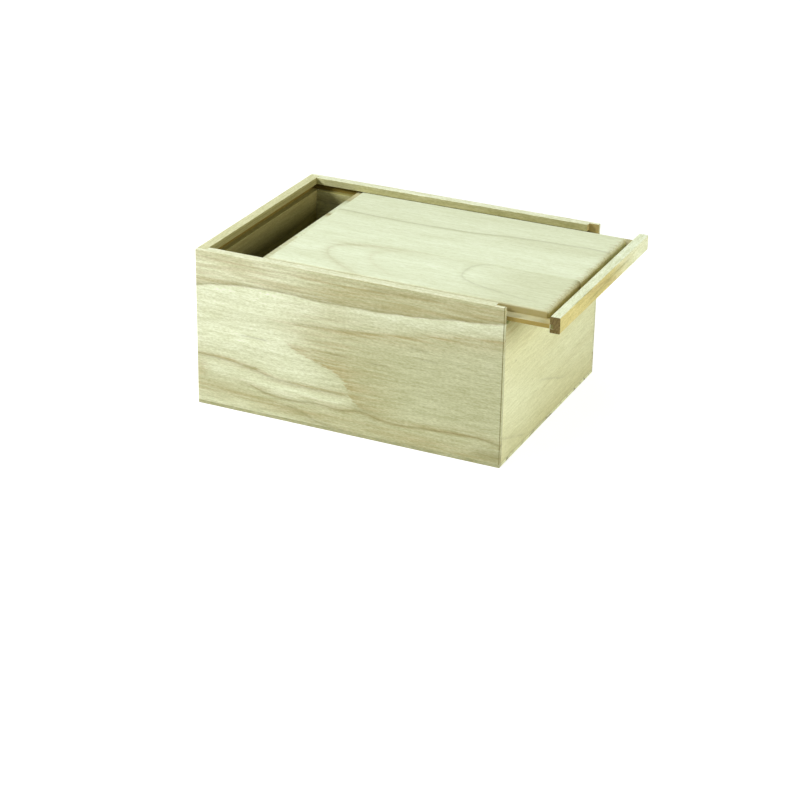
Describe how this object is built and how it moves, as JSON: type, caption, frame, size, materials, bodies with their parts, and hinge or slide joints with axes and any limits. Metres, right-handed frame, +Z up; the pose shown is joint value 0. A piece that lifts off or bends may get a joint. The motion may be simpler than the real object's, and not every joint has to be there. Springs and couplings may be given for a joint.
{
  "type": "sliding lid wooden box",
  "caption": "Rectangular wooden keepsake box whose flat raised lid slides in grooves on three sides and is pulled by a rail across its open end.",
  "frame": {"origin": "centre of the box's underside, on the surface it stands on", "axes": "+X along the lid's travel, towards the end it opens at; +Y from the front side to the back side; +Z up"},
  "size_m": [0.325, 0.214, 0.141],
  "materials": {
    "wall_wood": "bare sanded paulownia, matt",
    "bottom_wood": "bare sanded paulownia, matt",
    "lid_wood": "bare sanded paulownia, matt",
    "rail_wood": "bare sanded paulownia, matt"
  },
  "bodies": {
    "box": {"front_side": "wall_wood", "back_side": "wall_wood", "left_end": "wall_wood", "right_end": "wall_wood", "bottom_board": "bottom_wood"},
    "lid": {"lid_board_front": "lid_wood", "lid_board_back": "lid_wood", "lid_rail": "rail_wood"}
  },
  "joints": [
    {"name": "lid_slide", "type": "slide", "parent": "box", "child": "lid", "axis": [1, 0, 0], "range_m": [-0.045, 0.235]}
  ]
}
